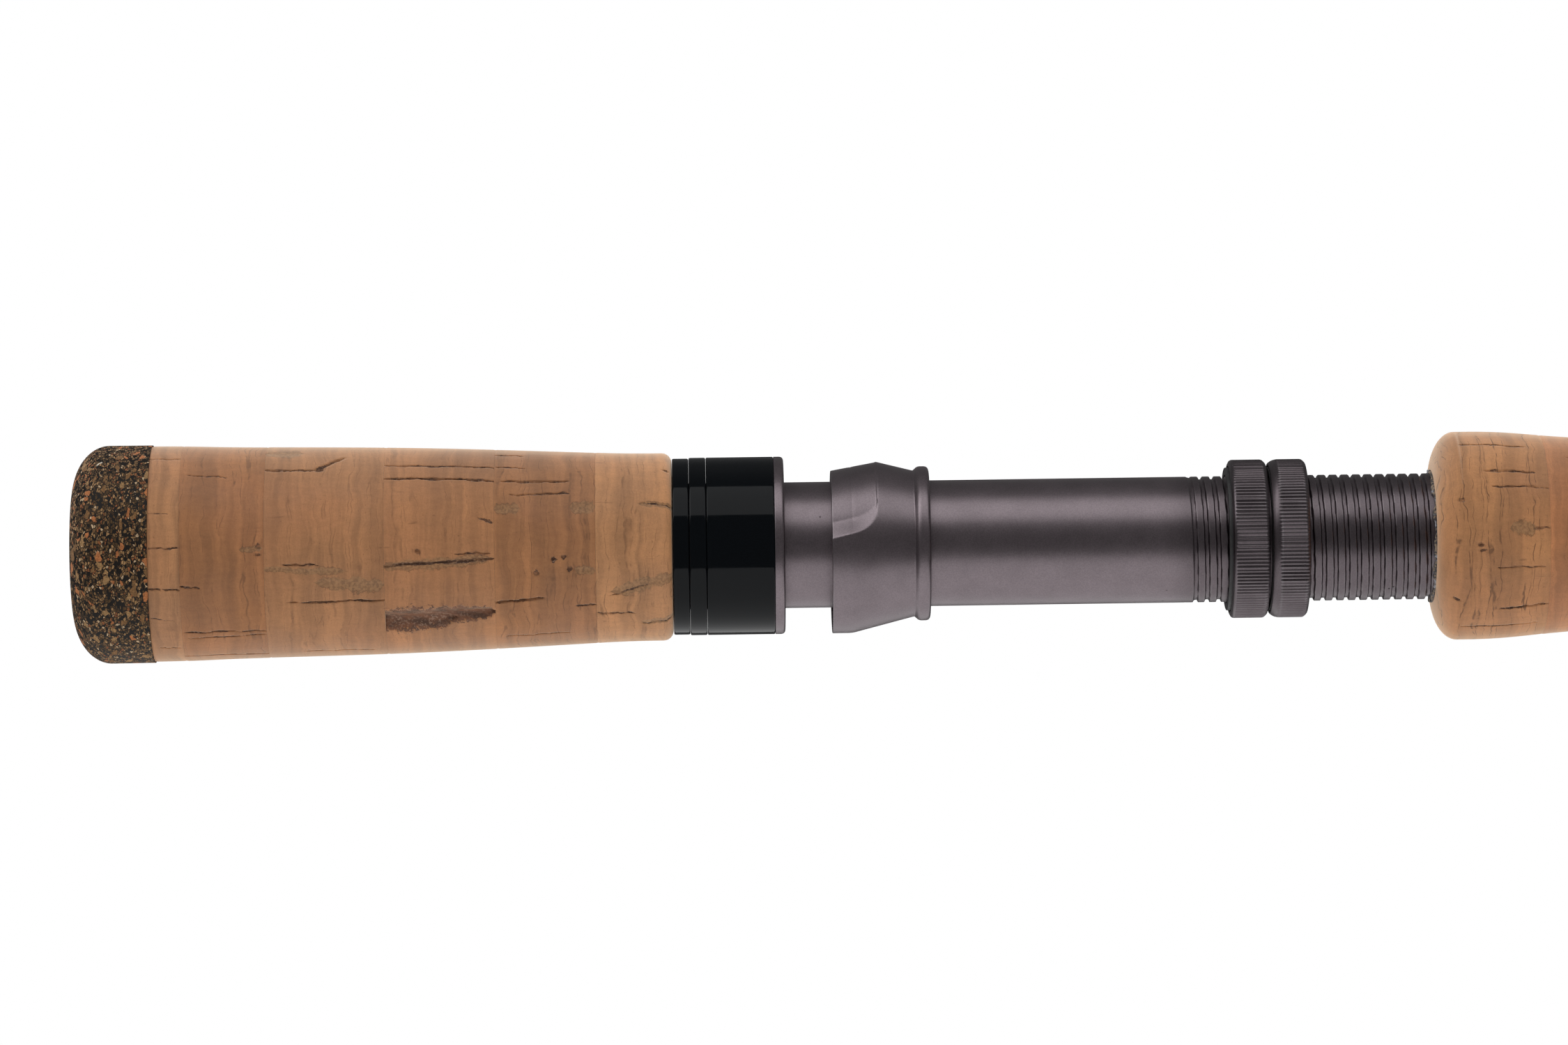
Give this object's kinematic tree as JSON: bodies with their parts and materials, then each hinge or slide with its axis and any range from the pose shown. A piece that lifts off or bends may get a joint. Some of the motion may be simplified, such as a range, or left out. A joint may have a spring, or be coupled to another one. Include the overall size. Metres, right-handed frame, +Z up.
{
  "type": "fly rod butt section",
  "caption": "Butt section of a take-down two-handed fly rod: cork grips, down-locking reel seat with sliding hood and lock nuts, carbon blank, line guide and male ferrule.",
  "frame": {"origin": "on the rod's axis, in the front face of the fixed hood, between the two hands", "axes": "+X along the rod from butt to tip, +Z up, so that the reel foot's pockets and the line guide are on the -Z side; right-handed, so +Y is the far side"},
  "size_m": [0.8295, 0.033, 0.0436],
  "materials": {
    "cork": "matte",
    "burl_cork": "matte",
    "gunmetal": "satin",
    "black_gloss": "gloss",
    "nylon": "matte",
    "carbon": "gloss",
    "arbor_foam": "matte",
    "guide_steel": "gloss",
    "guide_ceramic": "polished",
    "wrap_thread": "gloss"
  },
  "bodies": {
    "rod": {"butt_cap": "burl_cork", "rear_grip_ring_1": "cork", "rear_grip_ring_2": "cork", "rear_grip_ring_3": "cork", "rear_grip_ring_4": "cork", "rear_grip_ring_5": "cork", "rear_grip_ring_6": "cork", "rear_trim_ring": "black_gloss", "front_trim_ring": "black_gloss", "collar_sleeve": "black_gloss", "fixed_hood": "gunmetal", "reel_seat_barrel": "gunmetal", "seat_arbor_1": "arbor_foam", "seat_arbor_2": "arbor_foam", "seat_arbor_3": "arbor_foam", "foregrip_ring_1": "cork", "foregrip_ring_2": "cork", "foregrip_ring_3": "cork", "foregrip_ring_4": "cork", "foregrip_ring_5": "cork", "foregrip_ring_6": "cork", "foregrip_ring_7": "cork", "foregrip_ring_8": "cork", "foregrip_ring_9": "cork", "foregrip_ring_10": "cork", "foregrip_ring_11": "cork", "foregrip_ring_12": "cork", "foregrip_ring_13": "cork", "foregrip_ring_14": "cork", "winding_check": "gunmetal", "blank": "carbon", "guide_frame": "guide_steel", "guide_insert": "guide_ceramic", "guide_wrap_rear": "wrap_thread", "guide_wrap_front": "wrap_thread", "ferrule_wrap": "wrap_thread", "ferrule_spigot": "carbon"},
    "hood": {"sliding_hood": "gunmetal"},
    "rear_washer": {"rear_thrust_washer": "nylon"},
    "rear_nut": {"rear_lock_nut": "gunmetal"},
    "front_washer": {"front_thrust_washer": "nylon"},
    "front_nut": {"front_lock_nut": "gunmetal"}
  },
  "joints": [
    {"name": "sliding_hood_slide", "type": "slide", "parent": "rod", "child": "hood", "axis": [1, 0, 0], "range_m": [-0.0068, 0.0375]},
    {"name": "rear_nut_slide", "type": "slide", "parent": "rod", "child": "rear_washer", "axis": [1, 0, 0], "range_m": [-0.00682, 0.00922]},
    {"name": "rear_nut_turn", "type": "hinge", "parent": "rear_washer", "child": "rear_nut", "pos_m": [0.0671, 0, 0], "axis": [1, 0, 0], "range_deg": [-1398.86, 1892.57]},
    {"name": "front_nut_slide", "type": "slide", "parent": "rear_nut", "child": "front_washer", "axis": [1, 0, 0], "range_m": [0, 0.00922]},
    {"name": "front_nut_turn", "type": "hinge", "parent": "front_washer", "child": "front_nut", "pos_m": [0.0731, 0, 0], "axis": [1, 0, 0], "range_deg": [0, 1892.57]}
  ],
  "couplings": [
    {"joint": "rear_nut_slide", "follows": "rear_nut_turn", "m_per_rad": 0.00027852},
    {"joint": "front_nut_slide", "follows": "front_nut_turn", "m_per_rad": 0.00027852}
  ]
}
